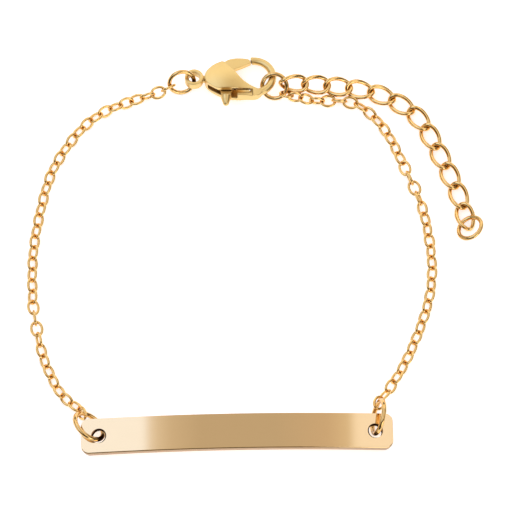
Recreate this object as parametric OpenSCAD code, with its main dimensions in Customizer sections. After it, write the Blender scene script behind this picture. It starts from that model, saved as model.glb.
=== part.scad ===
// Bar bracelet, closed and laid flat: an arched bar with a round hole near each end, two fine
// cable chains, a lobster clasp with a lever that swings inward, and a curb extender with an end
// ring. Millimetres, +Z up. The origin is the middle of the footprint, on the resting surface.

/* [Bar] */
// Length of the bar
bar_length = 40.3; // [36:0.1:44]
// Width of the bar
bar_width = 4.6; // [4.2:0.1:5.4]
// Thickness of the bar
bar_thick = 1.2; // [0.8:0.1:1.2]
// Radius that the underside is arched to
bar_bend = 112; // [110:1:200]
// Radius of the bar's corners
bar_corner = 1; // [0.3:0.1:1.5]
// Diameter of the hole near each end
bar_hole = 1.85; // [1.8:0.05:2.1]
// Distance from the end of the bar to the centre of its hole
bar_hole_inset = 2.25; // [1.9:0.05:2.5]

/* [Rings] */
// Outside diameter of the two rings in the bar
bar_ring_outside = 4.92; // [4.8:0.02:5]
// Wire of the two rings in the bar
bar_ring_wire = 0.52; // [0.4:0.02:0.52]
// Outside diameter of the rings at the clasp and at the extender's end
small_ring_outside = 3.76; // [3.6:0.02:3.8]
// Wire of the rings at the clasp and at the extender's end
small_ring_wire = 0.46; // [0.36:0.02:0.48]

/* [Cable chain] */
// Length of one link, outside
cable_link_length = 2.17; // [2.15:0.01:2.19]
// Width of one link, outside
cable_link_width = 1.56; // [1.5:0.02:1.64]
// Wire of the links
cable_wire = 0.25; // [0.21:0.01:0.25]
// Links on each side of the bracelet
cable_links = 38; // [38]

/* [Extender] */
// Length of one curb link, outside
curb_link_length = 4.02; // [4:0.02:4.06]
// Width of one curb link, outside
curb_link_width = 2.56; // [2.4:0.02:2.6]
// Wire of the curb links
curb_wire = 0.44; // [0.36:0.02:0.44]
// Turn of each end of a curb link about its length
curb_twist = 42; // [36:1:45]
// Number of curb links
curb_links = 12; // [12]

/* [Clasp] */
// Thickness of the clasp's body at its middle
clasp_thick = 2.7; // [2.4:0.1:2.8]
// Width of the slot that holds the lever
clasp_slot = 1; // [0.9:0.05:1.1]
// Thickness of the lever
lever_thick = 0.7; // [0.5:0.05:0.75]
// Diameter of the pin that the lever turns on
clasp_pin_d = 0.7; // [0.5:0.05:0.8]
// Play between the pin and the lever's bore
clasp_pin_play = 0.08; // [0.06:0.01:0.12]
// Lean of the clasp, its knob's side raised
clasp_lean = 15; // [10:1:20]

/* [Hidden] */
curb_names = [for (i = [1 : curb_links]) str("extender_link_", i < 10 ? "0" : "", i)];

gold = [0.87, 0.67, 0.36];
pale_gold = [0.91, 0.77, 0.49];

// Sides of a round section, and of a long arc
round_fn = 32;
arc_fn = 720;

// Brings the footprint's middle to the origin and the lowest wire to the surface
rest_shift = [0, -0.22, 0.03];

// Where the bar lies: its middle, the height of its underside there, and its turn
bar_place = [-2.38, -24.05, 2.75];
bar_turn = 1.1;

// Rings: x, y and z of the centre, lean from lying flat, and heading of the side that is lower
bar_ring_left_at = [-21.48, -23.01, 1.95, 48.8, 41];
bar_ring_right_at = [15.85, -21.88, 2.39, 72.3, 172];
clasp_ring_at = [-9.69, 23.44, 1.8, 52, 283];
hook_ring_at = [2.5, 22.92, 1.73, 29, 255];
end_ring_at = [28, 3.7, 1.48, 34, 144.5];

// Knots of each chain's route over the surface: x, y and z
left_route = [
    [-11.45, 22.76, 1.46], [-12.95, 22.15, 1.1], [-15.8, 21.3, 0.75], [-20, 19.6, 0.65], [-23.3, 16.8, 0.65],
    [-26.5, 11.8, 0.65], [-28.1, 6.2, 0.65], [-29, 0.3, 0.65], [-29, -5.6, 0.65], [-28.4, -9.9, 0.85],
    [-27.3, -14.2, 0.68], [-25.3, -18.25, 0.7], [-23.16, -20.25, 0.93], [-22.47, -21.13, 1.47]
];
right_route = [
    [4.07, 21.81, 1.65], [4.53, 21.55, 1.88], [8.35, 21.15, 0.85], [11.3, 21.15, 0.75], [14, 20.3, 0.68],
    [17, 17.2, 0.68], [19.6, 11.9, 0.88], [21.8, 6.6, 0.76], [22.9, 0.6, 0.73], [22.9, -3.8, 0.73],
    [21.9, -8.2, 0.7], [19.7, -13.7, 0.7], [17.45, -17.6, 0.85], [16.42, -19.08, 1.27], [15.99, -19.82, 1.63]
];
extender_route = [
    [5.03, 23.21, 1.99], [10.38, 23.01, 1.34], [16.1, 22.1, 0.8], [21.1, 19.1, 0.7], [24.1, 13.9, 0.7],
    [26.5, 8.5, 0.7], [27.42, 5.4, 0.72]
];

// Roll about the chain: link number and degrees. Odd links of a cable chain stand square to the even ones
left_roll = [[0, -105], [1, -105], [4, -47], [9, -50], [14, -46], [25, -44], [27, 0], [28, 0], [30, -40],
    [37, -41]];
right_roll = [[0, -44], [1, -31], [3, -10], [4, 0], [6, 24], [8, 48], [13, 52], [15, 0], [16, 0], [18, 45],
    [21, 58], [24, 42], [33, 38], [37, 63]];
extender_roll = [[0, 43], [1, 30], [2, 14], [3, 0], [9, 0], [11, -8]];

// Steps between two knots of a route
route_steps = 12;

// Clasp, in its own plane: x runs from the eye to the hook, y to the side that opens
clasp_eye_at = [-8.06, 23.89, 1.67];
eye_radius = 0.99;
eye_band = [0.48, 1.2];
// Diameter and length of the neck that joins the eye to the plates
neck = [1, 0.9];
hook_centre = [7.85, 0.35];
hook_radius = 2.45;
hook_wire = 1.04;
hook_from = -80;
hook_to = 100;
dome_radius = 12;
dome_centre = [4.8, -0.2];
pivot = [3.6, 0];
gate_reach = 4.7;
pin_length = 1.9;
slot_from = 1.85;
slot_to = 7.4;
// The upper plate stops short of the knob, and past the knob a wall closes the slot's side
slot_open_to = 5.7;
slot_wall = -2.25;
shelf_at = [3, -1.97, 0.42];
shelf_size = [4.7, 1.5, 2];
body_knots = [
    [1.45, -0.55], [1.95, -1.25], [3.6, -2.2], [5.2, -2.6], [6.8, -2.68], [8.2, -2.85], [8.9, -2.3],
    [8.5, -1.85], [7.4, -1.45], [6.3, -0.65], [5.35, 0.55], [4.9, 1.1], [4.35, 1.7], [3.8, 2.15],
    [3.2, 2], [2.6, 1.7], [2, 1.2], [1.6, 0.7], [1.4, 0.1]
];
lever_knots = [
    [5.1, -1.5], [5.2, -0.6], [4.8, 0.4], [5.2, 1.22], [6.25, 1.72], [7.25, 2.22], [7.46, 2.38],
    [7.37, 2.62], [7.12, 2.9], [6.3, 3.03], [5.3, 3.02], [4.35, 2.75], [3.6, 2.05], [3, 1.15],
    [2.75, 0.1], [3.1, -0.9], [3.5, -2], [3.65, -2.85], [4.75, -2.85], [4.9, -2.1]
];
knob_top = [4.2, -2.66];
knob_length = 0.95;
knob_radii = [0.74, 0.44];
outline_steps = 4;

// A point of the smooth curve through b and c, with a before them and d after them
function between(a, b, c, d, t) = 0.5 * (2 * b + (c - a) * t
    + (2 * a - 5 * b + 4 * c - d) * t * t + (3 * b - a - 3 * c + d) * t * t * t);
// Knots of a route with one more at each end, in line with the last two
function with_ends(route) = let (n = len(route))
    concat([2 * route[0] - route[1]], route, [2 * route[n - 1] - route[n - 2]]);
// Points along an open route
function smooth_route(route) = let (k = with_ends(route), n = len(k)) concat(
    [for (i = [1 : n - 3], j = [0 : route_steps - 1])
        between(k[i - 1], k[i], k[i + 1], k[i + 2], j / route_steps)],
    [k[n - 2]]);
// Points round a closed outline
function smooth_outline(k) = let (n = len(k))
    [for (i = [0 : n - 1], j = [0 : outline_steps - 1])
        between(k[(i + n - 1) % n], k[i], k[(i + 1) % n], k[(i + 2) % n], j / outline_steps)];
// Length walked at each point of a path
function walked(path) = [for (i = 0, s = 0; i < len(path);
    s = s + (i + 1 < len(path) ? norm(path[i + 1] - path[i]) : 0), i = i + 1) s];
// Place on a path at a length walked, in line with its last two points beyond its ends
function place_at(path, walk, s) = let (n = len(path), over = max(0, s - walk[n - 1]), under = min(0, s))
    [for (k = [0 : 2]) lookup(s, [for (i = [0 : n - 1]) [walk[i], path[i][k]]])]
    + over * unit(path[n - 1] - path[n - 2]) + under * unit(path[1] - path[0]);
function unit(v) = v / norm(v);

// Middle of a link's wire at an angle round the link, its ends turned both ways about its length
function link_point(a, b, twist, t) = let (turn = -twist * cos(t))
    [a * cos(t), b * sin(t) * cos(turn), b * sin(t) * sin(turn)];

// Columns of link_sizes: half length and half width to the middle of the wire, wire, twist
cable_sizes = [(cable_link_length - cable_wire) / 2, (cable_link_width - cable_wire) / 2, cable_wire, 0];
curb_sizes = [(curb_link_length - curb_wire) / 2, (curb_link_width - curb_wire) / 2, curb_wire, curb_twist];

// One link as a swept wire of 6 sides, centred, its length along ahead and its width along side
module link(sizes, stations, centre, ahead, side) {
    wire_sides = 6;
    up = cross(ahead, side);
    points = [for (j = [0 : stations - 1]) let (
            t = 360 * j / stations,
            p = link_point(sizes[0], sizes[1], sizes[3], t),
            along = unit(link_point(sizes[0], sizes[1], sizes[3], t + 1)
                - link_point(sizes[0], sizes[1], sizes[3], t - 1)),
            out = unit(p - (p * along) * along),
            across = cross(along, out))
        for (k = [0 : wire_sides - 1]) let (
            q = p + sizes[2] / 2 * (cos(60 * k) * out + sin(60 * k) * across))
        centre + q.x * ahead + q.y * side + q.z * up];
    faces = [for (j = [0 : stations - 1], k = [0 : wire_sides - 1]) let (
            j2 = (j + 1) % stations, k2 = (k + 1) % wire_sides,
            a = j * wire_sides + k, b = j2 * wire_sides + k,
            c = j2 * wire_sides + k2, d = j * wire_sides + k2)
        each [[a, b, c], [a, c, d]]];
    polyhedron(points, faces);
}

// Link number i of a chain with its first and last links at the ends of a path, rolled about the chain
module walked_link(path, walk, i, links, roll, sizes, stations) {
    pitch = walk[len(walk) - 1] / (links - 1);
    ahead = unit(place_at(path, walk, (i + 0.5) * pitch) - place_at(path, walk, (i - 0.5) * pitch));
    level = unit(cross([0, 0, 1], ahead));
    rise = cross(ahead, level);
    link(sizes, stations, place_at(path, walk, i * pitch), ahead, cos(roll) * level + sin(roll) * rise);
}

module cable_chain(route, rolls) {
    path = smooth_route(route);
    walk = walked(path);
    for (i = [0 : cable_links - 1])
        walked_link(path, walk, i, cable_links, lookup(i, rolls) + 90 * (i % 2), cable_sizes, 12);
}

module jump_ring(place, outside, wire) {
    translate([place[0], place[1], place[2]]) rotate([0, 0, place[4]]) rotate([0, place[3], 0])
        rotate_extrude($fn = 64) translate([(outside - wire) / 2, 0]) circle(d = wire, $fn = round_fn);
}

module rounded_plate(size, corner, height) {
    linear_extrude(height) union() {
        square([size.x - 2 * corner, size.y], center = true);
        square([size.x, size.y - 2 * corner], center = true);
        for (x = [-1, 1], y = [-1, 1])
            translate([x * (size.x / 2 - corner), y * (size.y / 2 - corner)]) circle(r = corner, $fn = round_fn);
    }
}

module bar() {
    fall = bar_length * bar_length / 8 / bar_bend + 1;
    color(pale_gold) translate(bar_place) rotate([0, 0, bar_turn]) difference() {
        intersection() {
            translate([0, 0, -fall]) rounded_plate([bar_length, bar_width], bar_corner, fall + bar_thick + 1);
            translate([0, 0, -bar_bend]) rotate([90, 0, 0])
                cylinder(r = bar_bend + bar_thick, h = bar_width + 2, center = true, $fn = arc_fn);
        }
        translate([0, 0, -bar_bend]) rotate([90, 0, 0])
            cylinder(r = bar_bend, h = bar_width + 4, center = true, $fn = arc_fn);
        for (side = [-1, 1])
            translate([side * (bar_length / 2 - bar_hole_inset), 0, -fall - 1])
                cylinder(d = bar_hole, h = fall + bar_thick + 3, $fn = 48);
    }
}

module bar_ring_left() { color(gold) jump_ring(bar_ring_left_at, bar_ring_outside, bar_ring_wire); }
module bar_ring_right() { color(gold) jump_ring(bar_ring_right_at, bar_ring_outside, bar_ring_wire); }
module clasp_ring() { color(gold) jump_ring(clasp_ring_at, small_ring_outside, small_ring_wire); }
module hook_ring() { color(gold) jump_ring(hook_ring_at, small_ring_outside, small_ring_wire); }
module end_ring() { color(gold) jump_ring(end_ring_at, small_ring_outside, small_ring_wire); }

module cable_chain_left() { color(gold) cable_chain(left_route, left_roll); }
module cable_chain_right() { color(gold) cable_chain(right_route, right_roll); }

module extender_link(i) {
    path = smooth_route(extender_route);
    color(gold) walked_link(path, walked(path), i, curb_links, lookup(i, extender_roll), curb_sizes, 16);
}

// Places what is drawn in the clasp's own plane
module in_clasp() { translate(clasp_eye_at) rotate([-clasp_lean, 0, 0]) children(); }

// Solid between two shallow domes, as thick as the clasp at its middle
module dome_pair() {
    drop = dome_radius - clasp_thick / 2;
    intersection_for (side = [-1, 1])
        translate([dome_centre.x, dome_centre.y, side * drop]) sphere(r = dome_radius, $fn = 200);
}

module clasp_body() {
    color(pale_gold) in_clasp() difference() {
        union() {
            rotate_extrude($fn = 64) translate([eye_radius, 0]) intersection() {
                square([eye_band[0], 2], center = true);
                circle(d = eye_band[1], $fn = round_fn);
            }
            translate([eye_radius, 0, 0]) rotate([0, 90, 0]) cylinder(d = neck[0], h = neck[1], $fn = round_fn);
            intersection() {
                translate([0, 0, -3]) linear_extrude(6) polygon(smooth_outline(body_knots));
                dome_pair();
            }
            difference() {
                translate([hook_centre.x, hook_centre.y, 0]) rotate([0, 0, hook_from])
                    rotate_extrude(angle = hook_to - hook_from, $fn = 96) translate([hook_radius, 0])
                        circle(d = hook_wire, $fn = round_fn);
                intersection() {
                    translate([pivot.x, pivot.y, 0]) cylinder(r = gate_reach, h = 3, center = true, $fn = 128);
                    translate([hook_centre.x - 3, hook_centre.y + 1, -2]) cube([4, 4, 4]);
                }
            }
        }
        translate([slot_from, -5, -clasp_slot / 2]) cube([slot_open_to - slot_from, 10, clasp_slot]);
        translate([slot_from, slot_wall, -clasp_slot / 2]) cube([slot_to - slot_from, 5 - slot_wall, clasp_slot]);
        translate([shelf_at.x, shelf_at.y - shelf_size.y, shelf_at.z]) cube(shelf_size);
        translate([pivot.x, pivot.y, 0]) cylinder(d = clasp_pin_d, h = pin_length, center = true, $fn = round_fn);
    }
}

module clasp_lever() {
    color(pale_gold) in_clasp() difference() {
        union() {
            translate([0, 0, -lever_thick / 2]) linear_extrude(lever_thick) polygon(smooth_outline(lever_knots));
            translate([knob_top.x, knob_top.y, 0]) rotate([90, 0, 0])
                cylinder(r1 = knob_radii[0], r2 = knob_radii[1], h = knob_length, $fn = round_fn);
            translate([knob_top.x, knob_top.y - knob_length, 0]) sphere(r = knob_radii[1], $fn = round_fn);
        }
        translate([pivot.x, pivot.y, 0])
            cylinder(d = clasp_pin_d + 2 * clasp_pin_play, h = 3, center = true, $fn = round_fn);
    }
}

module clasp_pin() {
    color(pale_gold) in_clasp() translate([pivot.x, pivot.y, 0])
        cylinder(d = clasp_pin_d, h = pin_length, center = true, $fn = round_fn);
}

translate(rest_shift) bar();
translate(rest_shift) bar_ring_left();
translate(rest_shift) bar_ring_right();
translate(rest_shift) cable_chain_left();
translate(rest_shift) cable_chain_right();
translate(rest_shift) clasp_ring();
translate(rest_shift) clasp_body();
translate(rest_shift) clasp_lever();
translate(rest_shift) clasp_pin();
translate(rest_shift) hook_ring();
translate(rest_shift) end_ring();
for (i = [0 : curb_links - 1]) translate(rest_shift) extender_link(i);
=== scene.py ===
import bpy, math
import numpy as np
from mathutils import Matrix, Vector


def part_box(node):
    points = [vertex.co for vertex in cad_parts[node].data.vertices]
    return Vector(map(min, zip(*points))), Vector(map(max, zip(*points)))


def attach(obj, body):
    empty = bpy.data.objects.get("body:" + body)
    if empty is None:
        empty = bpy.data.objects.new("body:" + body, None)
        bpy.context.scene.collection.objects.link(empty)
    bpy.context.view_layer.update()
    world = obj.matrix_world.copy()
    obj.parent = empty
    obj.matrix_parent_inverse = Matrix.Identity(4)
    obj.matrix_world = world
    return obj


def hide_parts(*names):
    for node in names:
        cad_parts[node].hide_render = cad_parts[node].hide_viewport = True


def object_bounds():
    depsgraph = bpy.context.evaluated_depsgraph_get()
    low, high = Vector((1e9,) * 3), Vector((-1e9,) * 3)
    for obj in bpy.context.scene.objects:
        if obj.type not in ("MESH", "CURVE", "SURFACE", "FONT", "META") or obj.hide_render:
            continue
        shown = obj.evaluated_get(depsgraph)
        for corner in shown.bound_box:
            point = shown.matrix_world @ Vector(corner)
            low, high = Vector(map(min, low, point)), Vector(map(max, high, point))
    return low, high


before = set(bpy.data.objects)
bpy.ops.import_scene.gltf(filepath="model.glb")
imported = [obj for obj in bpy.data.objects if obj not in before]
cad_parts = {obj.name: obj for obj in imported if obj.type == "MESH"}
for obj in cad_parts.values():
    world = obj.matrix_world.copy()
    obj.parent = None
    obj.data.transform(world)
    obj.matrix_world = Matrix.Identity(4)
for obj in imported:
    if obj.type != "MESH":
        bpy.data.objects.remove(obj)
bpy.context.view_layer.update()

# Bar: an arched plate of gold plated brass, cut to a rectangle with small round corners, with a
# round hole near each end. Its faces are polished, and its edges are eased on the buffing wheel.
BAR_LENGTH, BAR_WIDTH, BAR_THICK = 0.0403, 0.0046, 0.0012
BAR_CORNER, BAR_EASE, BAR_FRONT_EASE = 0.001, 0.0001, 0.0002
BAR_HOLE, BAR_HOLE_INSET, BAR_HOLE_EASE = 0.00185, 0.00225, 0.00004
BAR_BEND, BAR_TURN = 0.112, math.radians(1.1)
BAR_ARC = BAR_BEND + BAR_THICK / 2
BAR_STRIPS = 42


def pick_nothing():
    """Leaves edit mode and deselects everything."""
    if bpy.context.object and bpy.context.object.mode != "OBJECT":
        bpy.ops.object.mode_set(mode="OBJECT")
    bpy.ops.object.select_all(action="DESELECT")


def pick(*things):
    """Selects these objects alone, the last one active."""
    pick_nothing()
    for thing in things:
        thing.select_set(True)
    bpy.context.view_layer.objects.active = things[-1]
    return things[-1]


def pick_edges(thing, wanted):
    """Selects, in edit mode, the edges whose two ends are as wanted."""
    bpy.ops.mesh.select_mode(type="EDGE")
    bpy.ops.mesh.select_all(action="DESELECT")
    bpy.ops.object.mode_set(mode="OBJECT")
    spots = thing.data.vertices
    for edge in thing.data.edges:
        a, b = (spots[i].co for i in edge.vertices)
        edge.select = wanted(a, b)
    bpy.ops.object.mode_set(mode="EDIT")


def finish_with(thing, kind, **settings):
    """Adds one modifier and applies it."""
    modifier = thing.modifiers.new(kind.title(), kind)
    for setting, value in settings.items():
        setattr(modifier, setting, value)
    bpy.context.view_layer.objects.active = thing
    bpy.ops.object.modifier_apply(modifier=modifier.name)


def set_down(thing, place):
    """Moves a piece by way of its mesh, so that its object ends up at the origin."""
    thing.data.transform(place @ thing.matrix_world)
    thing.matrix_world = Matrix.Identity(4)
    return thing


pick_nothing()
bpy.ops.mesh.primitive_cube_add(size=1, location=(0, 0, 0))
bar = bpy.context.object
bar.name = "bar_plate"
bpy.ops.object.mode_set(mode="EDIT")
bpy.ops.transform.resize(value=(BAR_LENGTH, BAR_WIDTH, BAR_THICK))
pick_edges(bar, lambda a, b: abs(a.z - b.z) > BAR_THICK / 2)
bpy.ops.mesh.bevel(offset=BAR_CORNER, segments=8)
pick_edges(bar, lambda a, b: (min(a.z, b.z) > BAR_THICK / 4
                              and min(a.y, b.y) < -0.4 * BAR_WIDTH))
bpy.ops.mesh.bevel(offset=BAR_FRONT_EASE, segments=4)
for k in range(2 - BAR_STRIPS // 2, BAR_STRIPS // 2 - 1):
    bpy.ops.mesh.select_all(action="SELECT")
    bpy.ops.mesh.bisect(plane_co=(k * BAR_LENGTH / BAR_STRIPS, 0, 0), plane_no=(1, 0, 0))
bpy.ops.object.mode_set(mode="OBJECT")
finish_with(bar, "BEVEL", width=BAR_EASE, segments=2, limit_method="ANGLE",
            angle_limit=math.radians(40))
for side in (-1, 1):
    pick_nothing()
    bpy.ops.mesh.primitive_cylinder_add(
        vertices=48, radius=BAR_HOLE / 2, depth=4 * BAR_THICK,
        location=(side * (BAR_LENGTH / 2 - BAR_HOLE_INSET), 0, 0))
    drill = bpy.context.object
    finish_with(bar, "BOOLEAN", operation="DIFFERENCE", solver="EXACT", object=drill)
    bpy.data.objects.remove(drill)
pick(bar)
finish_with(bar, "BEVEL", width=BAR_HOLE_EASE, segments=2, limit_method="ANGLE",
            angle_limit=math.radians(70))
set_down(bar, Matrix.Rotation(-math.pi / 2, 4, "X"))
finish_with(bar, "SIMPLE_DEFORM", deform_method="BEND", deform_axis="Z",
            angle=-BAR_LENGTH / BAR_ARC)
set_down(bar, Matrix.Rotation(math.pi / 2, 4, "X"))
bpy.ops.object.shade_smooth_by_angle(angle=math.radians(35))
finish_with(bar, "WEIGHTED_NORMAL", weight=80, keep_sharp=True)
set_down(bar, Matrix.Rotation(BAR_TURN, 4, "Z"))
bar_low, bar_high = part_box("bar")
bar_middle = (bar_low + bar_high) / 2
own = np.array([v.co for v in bar.data.vertices])
set_down(bar, Matrix.Translation(bar_middle - Vector((own.min(0) + own.max(0)) / 2)))


class Wire:
    """One output of a finish's nodes, so that shader sums are written as plain expressions."""

    def __init__(self, finish, socket):
        self.finish, self.socket = finish, socket

    def sum(self, kind, a, b):
        return self.finish.node("ShaderNodeMath", {"operation": kind}, {0: a, 1: b})

    def __add__(self, other): return self.sum("ADD", self, other)
    def __radd__(self, other): return self.sum("ADD", other, self)
    def __sub__(self, other): return self.sum("SUBTRACT", self, other)
    def __rsub__(self, other): return self.sum("SUBTRACT", other, self)
    def __mul__(self, other): return self.sum("MULTIPLY", self, other)
    def __rmul__(self, other): return self.sum("MULTIPLY", other, self)
    def __pow__(self, other): return self.sum("POWER", self, other)
    def __abs__(self): return self.sum("ABSOLUTE", self, 0)

    def within(self):
        """The value held between 0 and 1."""
        return self.sum("MINIMUM", self.sum("MAXIMUM", self, 0), 1)


class Finish:
    """The nodes of a material or a light, and the one way in which they are added and joined."""

    def __init__(self, owner):
        owner.use_nodes = True
        self.owner, self.tree = owner, owner.node_tree
        self.tree.nodes.clear()

    def node(self, kind, settings=None, sockets=None, out=0):
        made = self.tree.nodes.new(kind)
        for setting, value in (settings or {}).items():
            if setting == "stops":
                ramp = made.color_ramp
                for k, (place, shade) in enumerate(value):
                    stop = ramp.elements[k] if k < 2 else ramp.elements.new(place)
                    stop.position, stop.color = place, shade
            else:
                setattr(made, setting, value)
        for socket, value in (sockets or {}).items():
            if isinstance(value, Wire):
                self.tree.links.new(value.socket, made.inputs[socket])
            else:
                made.inputs[socket].default_value = value
        return Wire(self, made.outputs[out] if made.outputs else None)

    def blend(self, share, base, over):
        """One colour turning into another."""
        return self.node("ShaderNodeMix", {"data_type": "RGBA"},
                         {"Factor": share, 6: base, 7: over}, 2)


# The clouds in the plate and the buffing lines, in steps to a metre, the lines' depth, and how far
# the clouds change the colour and both of them the roughness
CLOUD_STEPS, LINE_STEPS, LINE_DEPTH, CLOUD_TINT, ROUGH_PLAY = 420, 900, 0.00002, 0.5, 0.03
# How much open sky keeps a place free of painted shade, and how fast the painted shade deepens
# below that
UNSHADED_SKY, SHADE_DEEPENING = 0.65, 2
# The darker painted shade on a cut side, how much rougher a cut side is, and the near-black painted
# shade in a hole's wall, beside the polished faces
SIDE_SHADE_TONE, CUT_ROUGHER, BLACK_SHADE_TONE = (0.45, 0.26, 0.11, 1), 0.22, (0.04, 0.016, 0.006, 1)


def gold_finish(name, colour, deep, rough, scratch, grain=(1, 1, 1), coat=0, reach=0.0004,
                painted_shade=(0.42, 0.14, 0.01, 1), shade_marks=None):
    """Polished gold plate: a metal with faint clouding from colour to deep, fine buffing lines of
    strength scratch along grain, and painted shade, a darker colour in crevices and between parts
    where little open sky is within reach. The last argument, if given, yields the shares of a
    surface that take a darker painted shade, on a cut side, and a near-black painted shade, on a
    dark wall."""
    made = Finish(bpy.data.materials.new(name))
    place = made.node("ShaderNodeTexCoord", out="Object")
    cloud = made.node("ShaderNodeTexNoise", {},
                      {"Vector": place, "Scale": CLOUD_STEPS, "Detail": 3}, "Fac")
    along = made.node("ShaderNodeMapping", {}, {"Vector": place, "Scale": grain})
    lines = made.node("ShaderNodeTexNoise", {},
                      {"Vector": along, "Scale": LINE_STEPS, "Detail": 2}, "Fac")
    bump = made.node("ShaderNodeBump", {},
                     {"Strength": scratch, "Distance": LINE_DEPTH, "Height": lines})
    # Painted shade: the colour turns towards a dark brown where little open sky is within reach, in
    # crevices and between parts
    open_sky = made.node("ShaderNodeAmbientOcclusion", {"samples": 6}, {"Distance": reach}, "AO")
    tone = made.blend(((UNSHADED_SKY - open_sky) * SHADE_DEEPENING).within(),
                      made.blend(cloud * CLOUD_TINT, colour, deep), painted_shade)
    roughness = rough + cloud * ROUGH_PLAY + lines * ROUGH_PLAY
    # A cut side or the slot's strip takes a darker painted shade and a rougher polish
    if shade_marks:
        side, black_share = shade_marks(made, place)
        tone = made.blend(side, tone, SIDE_SHADE_TONE)
        roughness = roughness + side * CUT_ROUGHER
    metal = made.node("ShaderNodeBsdfPrincipled", {}, {
        "Base Color": tone, "Metallic": 1.0, "Roughness": roughness, "Normal": bump,
        "Coat Weight": coat, "Coat Roughness": 0.15})
    # A hole's wall or a slot spot takes a near-black painted shade in place of the metal
    if shade_marks:
        painted_black = made.node("ShaderNodeBsdfPrincipled", {}, {
            "Base Color": BLACK_SHADE_TONE, "Roughness": 0.9, "Specular IOR Level": 0.0})
        metal = made.node("ShaderNodeMixShader", {}, {0: black_share, 1: metal, 2: painted_black})
    made.node("ShaderNodeOutputMaterial", {}, {"Surface": metal})
    return made.owner


def give(thing, material):
    """Gives a piece its material."""
    thing.data.materials.clear()
    thing.data.materials.append(material)


# A face that looks less far up or down than this is a cut side, painted darker as shade, and the
# near-black painted shade of a hole's wall reaches this far past the hole's own radius. Each ends
# at its own sharpness
SIDE_FACING, SIDE_SHARPNESS, WALL_MARGIN, WALL_SHARPNESS = 0.75, 4, 0.00005, 30000


def bar_shade_marks(made, place):
    """The bar's cut sides, rougher and with a darker painted shade, and its holes' walls, with a
    near-black painted shade.
    """
    normal = made.node("ShaderNodeTexCoord", out="Normal")
    facing = made.node("ShaderNodeSeparateXYZ", {}, {0: normal}, "Z")
    side = ((SIDE_FACING - abs(facing)) * SIDE_SHARPNESS).within()
    own = made.node("ShaderNodeMapping", {"vector_type": "TEXTURE"}, {
        "Vector": place, "Location": bar_middle, "Rotation": (0, 0, BAR_TURN)})
    along, across = (made.node("ShaderNodeSeparateXYZ", {}, {0: own}, axis) for axis in "XY")
    hole_at = BAR_ARC * math.sin((BAR_LENGTH / 2 - BAR_HOLE_INSET) / BAR_ARC)
    away = ((abs(along) - hole_at) ** 2 + across ** 2) ** 0.5
    black_share = ((BAR_HOLE / 2 + WALL_MARGIN - away) * WALL_SHARPNESS).within()
    return side, black_share


# The bar's gold has painted shade between parts, a darker painted shade on its cut sides and a
# near-black painted shade in its holes' walls
bar_gold = gold_finish(
    "polished bar gold", (0.94, 0.67, 0.37, 1), (0.92, 0.65, 0.35, 1), rough=0.03, scratch=0.02,
    grain=(0.06, 1, 1), shade_marks=bar_shade_marks)
give(bar, bar_gold)
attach(bar, "bracelet")
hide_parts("bar")

# Jump rings: round gold plated wire, bent to a circle and closed, with a fine butt joint left
# where the two ends meet. Two larger ones hang in the bar's holes. For each ring: its width
# outside, its wire, and the direction of its joint in degrees.
RINGS = {"bar_ring_left": (0.00498, 0.00064, 200), "bar_ring_right": (0.00498, 0.00064, 20),
         "clasp_ring": (0.00384, 0.00057, 250), "hook_ring": (0.00384, 0.00057, 120),
         "end_ring": (0.00384, 0.00057, 300)}
RING_JOINT = 0.00004
SAME_POINT = 0.000001


def twin(thing):
    """A copy of a piece or a CAD node, with a mesh of its own."""
    copy = thing.copy()
    copy.data = thing.data.copy()
    bpy.context.scene.collection.objects.link(copy)
    return copy


def merge_points(thing):
    """Joins a mesh's doubled points, and stays in edit mode with all of it selected."""
    pick(thing)
    bpy.ops.object.mode_set(mode="EDIT")
    bpy.ops.mesh.select_all(action="SELECT")
    bpy.ops.mesh.remove_doubles(threshold=SAME_POINT)


def loose_parts(node):
    """The separate solids of a CAD node, each as an array of its points."""
    merge_points(twin(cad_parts[node]))
    bpy.ops.mesh.separate(type="LOOSE")
    bpy.ops.object.mode_set(mode="OBJECT")
    parts = list(bpy.context.selected_objects)
    points = [np.array([v.co for v in part.data.vertices], float) for part in parts]
    for part in parts:
        bpy.data.objects.remove(part)
    return points


def lie_of(points):
    """The place of a flat closed shape: its middle, with x along it and z square to it."""
    middle = points.mean(0)
    ways = np.linalg.eigh(np.cov((points - middle).T))[1]
    x, z = ways[:, 2], ways[:, 0]
    ways = np.array([x, np.cross(z, x), z])
    across = (points - middle) @ ways.T
    middle = middle + ((across.min(0) + across.max(0)) / 2) @ ways
    place = Matrix.Identity(4)
    for k, way in enumerate((*ways, middle)):
        place.col[k][:3] = way
    return place


def upright(place):
    """The same place with z on the upper side and x level, so that a ring's joint stays put."""
    z = place.col[2].xyz * (1 if place.col[2].z > 0 else -1)
    x = Vector((0, 0, 1)).cross(z).normalized()
    place = place.copy()
    for k, way in enumerate((x, z.cross(x), z)):
        place.col[k][:3] = way
    return place


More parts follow.
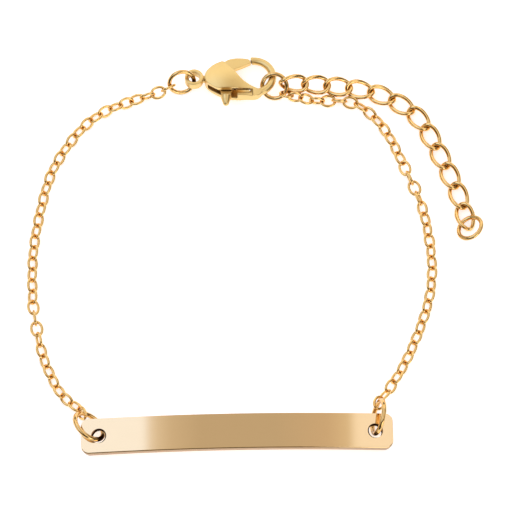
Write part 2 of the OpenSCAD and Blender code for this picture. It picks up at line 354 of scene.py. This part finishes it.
# The rings' gold has a near-black painted shade where other parts are near, deepest inside the
# bar's holes
ring_gold = gold_finish(
    "shaded ring gold", (0.87, 0.555, 0.215, 1), (0.78, 0.435, 0.115, 1), rough=0.12, scratch=0.05,
    coat=0.1, reach=0.0010, painted_shade=(0.07, 0.025, 0.01, 1))
for node, (outside, wire, joint_at) in RINGS.items():
    reach, start = (outside - wire) / 2, math.radians(joint_at)
    pick_nothing()
    bpy.ops.mesh.primitive_circle_add(
        vertices=14, radius=wire / 2, rotation=(math.pi / 2, 0, start),
        location=(reach * math.cos(start), reach * math.sin(start), 0))
    ring = bpy.context.object
    ring.name = node + "_wire"
    bpy.ops.object.mode_set(mode="EDIT")
    bpy.ops.mesh.select_all(action="SELECT")
    bpy.ops.mesh.spin(steps=72, angle=2 * math.pi - RING_JOINT / reach, center=(0, 0, 0),
                      axis=(0, 0, 1))
    bpy.ops.mesh.select_all(action="SELECT")
    bpy.ops.mesh.fill_holes(sides=0)
    bpy.ops.mesh.normals_make_consistent(inside=False)
    bpy.ops.object.mode_set(mode="OBJECT")
    bpy.ops.object.shade_smooth_by_angle(angle=math.radians(35))
    set_down(ring, upright(lie_of(loose_parts(node)[0])))
    give(ring, ring_gold)
    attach(ring, "bracelet")
    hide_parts(node)

# Cable chains: oval links of fine round wire, each soldered shut and standing square to the next.
# One link is made, and a copy of it lies wherever the frame has a link.
CABLE_LENGTH, CABLE_WIDTH, CABLE_WIRE = 0.00224, 0.00178, 0.00038


def oval_link(name, length, width, wire, steps, sides, twist=0):
    """A closed oval of round wire, whose two ends may be twisted against each other."""
    pick_nothing()
    bpy.ops.curve.primitive_bezier_circle_add(radius=1)
    made = bpy.context.object
    made.name = name
    bpy.ops.object.mode_set(mode="EDIT")
    bpy.ops.curve.select_all(action="SELECT")
    bpy.ops.transform.resize(value=((length - wire) / 2, (width - wire) / 2, 1))
    bpy.ops.object.mode_set(mode="OBJECT")
    made.data.dimensions = "3D"
    made.data.resolution_u = steps
    made.data.bevel_depth = wire / 2
    made.data.bevel_resolution = sides
    pick(made)
    bpy.ops.object.convert(target="MESH")
    made = bpy.context.object
    if twist:
        finish_with(made, "SIMPLE_DEFORM", deform_method="TWIST", deform_axis="X",
                    angle=-2 * twist)
    merge_points(made)
    bpy.ops.mesh.normals_make_consistent(inside=False)
    bpy.ops.object.mode_set(mode="OBJECT")
    bpy.ops.object.shade_smooth()
    return made


# The cable wire's gold has a brown painted shade where links cross and touch
wire_gold = gold_finish(
    "warm wire gold", (0.98, 0.63, 0.23, 1), (0.90, 0.51, 0.13, 1), rough=0.10, scratch=0.05,
    coat=0.2)
cable_link = oval_link("cable_link", CABLE_LENGTH, CABLE_WIDTH, CABLE_WIRE, steps=6, sides=2)
for node in ("cable_chain_left", "cable_chain_right"):
    chain = pick(*[set_down(twin(cable_link), lie_of(points)) for points in loose_parts(node)])
    bpy.ops.object.join()
    chain.name = node + "_links"
    give(chain, wire_gold)
    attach(chain, "bracelet")
    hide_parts(node)
bpy.data.objects.remove(cable_link)

# Extender: curb links of thicker gold plated wire, soldered shut, each twisted so that the chain
# lies flat.
CURB_LENGTH, CURB_WIDTH, CURB_WIRE, CURB_TWIST = 0.0041, 0.00272, 0.00058, math.radians(42)
CURB_LINKS = 12
# The curb links' gold has a dark painted shade where links touch
curb_gold = gold_finish(
    "curb link gold", (0.94, 0.60, 0.23, 1), (0.86, 0.485, 0.12, 1), rough=0.10, scratch=0.05,
    coat=0.2, reach=0.0005, painted_shade=(0.16, 0.045, 0.003, 1))
curb_link = oval_link("curb_link", CURB_LENGTH, CURB_WIDTH, CURB_WIRE, steps=10, sides=3,
                      twist=CURB_TWIST)
for count in range(1, CURB_LINKS + 1):
    node = "extender_link_%02d" % count
    link = twin(curb_link)
    link.name = "curb_link_%02d" % count
    set_down(link, lie_of(loose_parts(node)[0]))
    give(link, curb_gold)
    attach(link, "bracelet")
    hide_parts(node)
bpy.data.objects.remove(curb_link)

# Lobster clasp: cast in gold plated brass in a body with an eye and a hook, with a sprung lever
# between its two plates that turns on a hidden pin. Tumbling has rounded every edge of the casting.
CLASP_EYE, CLASP_LEAN = (-0.00806, 0.02367, 0.0017), math.radians(15)
# For each piece of it: the body that it rides on, the grain in which it is cast, and how many
# times its edges are smoothed
CASTINGS = {"clasp_body": ("bracelet", 0.00005, 7), "clasp_lever": ("lever", 0.00004, 6)}
# Where the strip of painted shade over the slot starts and ends along, across and up the clasp, in
# millimetres from its eye, and how sharply. Its near-black spots of painted shade are where a noise
# of so many steps to a millimetre is over a level, and that is how sharply they show
SLOT_STRIP = {"X": (4.8, 7.45, 2, 6), "Y": (-2.2, -1.86, 12, 12), "Z": (0.38, 0.97, 20, 10)}
SPOT_STEPS, SPOT_LEVEL, SPOT_SHARPNESS = 3.2, 0.4, 7


def slot_shade(made, place):
    """The upper plate's edge past the knob, with a strip of painted shade and near-black spots of
    painted shade over the slot.
    """
    own = made.node("ShaderNodeMapping", {"vector_type": "TEXTURE"}, {
        "Vector": place, "Location": CLASP_EYE, "Rotation": (-CLASP_LEAN, 0, 0),
        "Scale": (0.001, 0.001, 0.001)})
    strip = 1
    for axis, (start, end, sharp_start, sharp_end) in SLOT_STRIP.items():
        at = made.node("ShaderNodeSeparateXYZ", {}, {0: own}, axis)
        strip = strip * ((at - start) * sharp_start).within() * ((end - at) * sharp_end).within()
    spots = made.node("ShaderNodeTexNoise", {},
                      {"Vector": own, "Scale": SPOT_STEPS, "Detail": 2}, "Fac")
    return strip, (strip * (spots - SPOT_LEVEL) * SPOT_SHARPNESS).within()


# The clasp's gold has painted shade in crevices and between parts, a darker painted shade on the
# strip over the slot and near-black spots of painted shade there
clasp_gold = gold_finish(
    "clasp gold", (0.90, 0.63, 0.25, 1), (0.86, 0.57, 0.19, 1), rough=0.30, scratch=0.08,
    coat=0.15, reach=0.0011, painted_shade=(0.13, 0.055, 0.01, 1), shade_marks=slot_shade)
for node, (body, grain, passes) in CASTINGS.items():
    cast = twin(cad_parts[node])
    cast.name = node + "_casting"
    merge_points(cast)
    bpy.ops.object.mode_set(mode="OBJECT")
    finish_with(cast, "REMESH", mode="VOXEL", voxel_size=grain)
    finish_with(cast, "SMOOTH", factor=0.5, iterations=passes)
    bpy.ops.object.shade_smooth()
    give(cast, clasp_gold)
    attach(cast, body)
    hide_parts(node)
give(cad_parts["clasp_pin"], clasp_gold)

# Floor, light and camera: a white floor under the lowest wire, a wide soft card overhead whose
# glow falls off towards its middle, a card behind, a small one in front and a dim one at each
# side, and the camera 75 degrees above the floor.
WHITE, PALE, PALER = (1, 1, 1, 1), (0.94, 0.94, 0.94, 1), (0.96, 0.96, 0.96, 1)
pick_nothing()
bpy.ops.mesh.primitive_plane_add(size=3, location=(0, 0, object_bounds()[0][2]))
floor = bpy.context.object
floor.name = "floor"
white = Finish(bpy.data.materials.new("white floor"))
place = white.node("ShaderNodeTexCoord", out="Object")
mottle = white.node("ShaderNodeTexNoise", {}, {"Vector": place, "Scale": 30}, "Fac")
paper = white.node("ShaderNodeBsdfPrincipled", {}, {
    "Base Color": white.blend(mottle, PALE, PALER), "Roughness": 0.9,
    "Emission Color": WHITE, "Emission Strength": 0.55})
white.node("ShaderNodeOutputMaterial", {}, {"Surface": paper})
give(floor, white.owner)


def soft_light(name, place, width, depth, glow, aim=(0, 0, 0), stops=((0.0, WHITE), (1.0, WHITE))):
    """A card of even light, or one whose glow changes across its width by the stops."""
    light = bpy.data.lights.new(name, "AREA")
    light.shape, light.size, light.size_y = "RECTANGLE", width, depth
    light.energy = glow * math.pi * width * depth
    card = Finish(light)
    spot = card.node("ShaderNodeNewGeometry", out="Parametric")
    across = card.node("ShaderNodeSeparateXYZ", {}, {0: spot}, "X")
    shade = card.node("ShaderNodeValToRGB", {"stops": stops}, {0: across})
    card.node("ShaderNodeOutputLight", {}, {
        0: card.node("ShaderNodeEmission", {}, {"Color": shade})})
    holder = bpy.data.objects.new(name, light)
    holder.location = place
    holder.rotation_euler = (Vector(aim) - Vector(place)).to_track_quat("-Z", "Y").to_euler()
    bpy.context.scene.collection.objects.link(holder)


COOL, DIM, WARM = (1.13, 1.36, 1.92, 1), (0.57, 0.525, 0.46, 1), (1.11, 1.13, 1.21, 1)
soft_light("overhead card", (0, 0.12, 0.50), width=1.2, depth=0.8, glow=0.86, aim=(0, 0.12, 0),
           stops=((0.0, COOL), (1.0, WARM), (0.389, COOL), (0.396, (0.92, 0.97, 1.14, 1)),
                  (0.405, (0.79, 0.78, 0.79, 1)), (0.422, (0.67, 0.63, 0.58, 1)), (0.455, DIM),
                  (0.54, DIM), (0.60, (0.66, 0.57, 0.48, 1)), (0.625, (0.78, 0.71, 0.60, 1)),
                  (0.637, WARM)))
soft_light("back card", (0, 0.78, 0.42), width=1.6, depth=0.5, glow=1.15)
soft_light("front card", (0.45, -0.70, 0.40), width=0.6, depth=0.4, glow=2.5)
soft_light("left card", (-1.3, 0, 0.45), width=1.2, depth=0.7, glow=0.6)
soft_light("right card", (1.3, 0, 0.45), width=1.2, depth=0.7, glow=0.1)
world = bpy.data.worlds.new("studio")
world.use_nodes = True
room = world.node_tree.nodes["Background"]
room.inputs["Color"].default_value, room.inputs["Strength"].default_value = (1, 0.93, 0.82, 1), 0.08
bpy.context.scene.world = world
bpy.context.scene.view_settings.view_transform = "Standard"

camera = bpy.data.objects.new("camera", bpy.data.cameras.new("camera"))
bpy.context.scene.collection.objects.link(camera)
bpy.context.scene.camera = camera
aim, rise, away = Vector((-0.00006, -0.00007, 0.00103)), math.radians(75), 0.7
camera.location = aim + away * Vector((0, -math.cos(rise), math.sin(rise)))
camera.rotation_euler = (math.pi / 2 - rise, 0, 0)
camera.data.lens, camera.data.sensor_width = 378.9, 36
camera.data.clip_start, camera.data.clip_end = 0.01, 20
